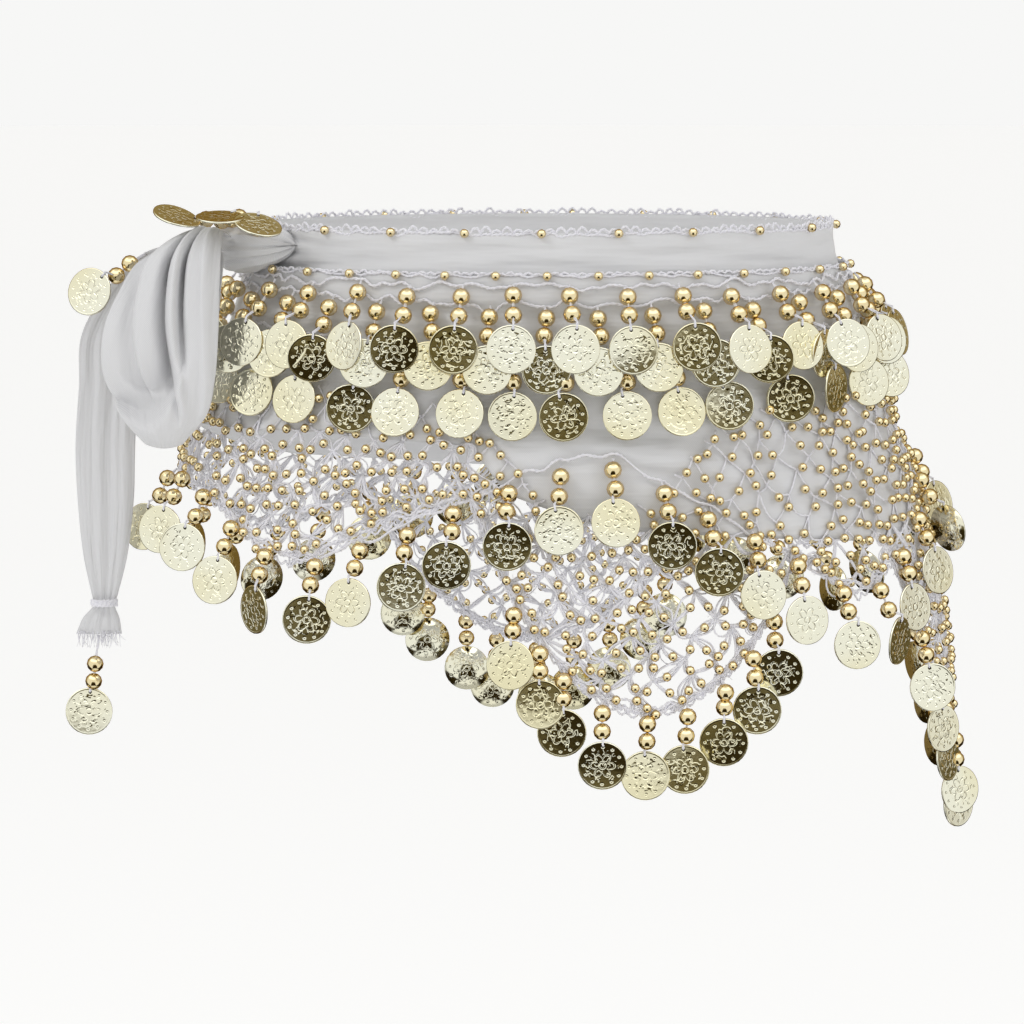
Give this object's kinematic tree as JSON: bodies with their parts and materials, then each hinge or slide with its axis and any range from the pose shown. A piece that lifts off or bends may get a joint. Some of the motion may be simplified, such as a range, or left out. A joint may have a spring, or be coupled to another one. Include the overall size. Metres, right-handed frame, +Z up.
{
  "type": "belly dance hip skirt",
  "caption": "Tied chiffon hip scarf with a half bow and tail at one side, a scalloped crocheted net hem, and rows of hanging beads and coins.",
  "frame": {"origin": "middle of the hips' hollow, level with the line where the scarf is tied", "axes": "+Z up, -Y towards the back of the hips, -X towards the knot"},
  "size_m": [0.3964, 0.2292, 0.2772],
  "materials": {
    "chiffon": "pale silver grey chiffon, softly creased",
    "crochet_yarn": "white crochet yarn with a faint lilac sheen",
    "gold_coins": "polished pale gold plating on coins and large beads"
  },
  "bodies": {
    "root": {"inner_band": "chiffon", "hip_panel": "chiffon", "knot": "chiffon", "bow_loop": "chiffon", "tie_tail": "chiffon", "net_back": "crochet_yarn", "net_front": "crochet_yarn", "coin_row_top": "gold_coins", "coin_row_middle": "gold_coins", "coin_row_lower": "gold_coins", "arch_coins": "gold_coins", "point_coins_back": "gold_coins", "point_coins_side": "gold_coins", "point_coins_front": "gold_coins", "knot_coin_left": "gold_coins", "knot_coin_middle": "gold_coins", "knot_coin_right": "gold_coins", "tail_edge_coin": "gold_coins", "tail_tip_coin": "gold_coins"}
  },
  "joints": []
}
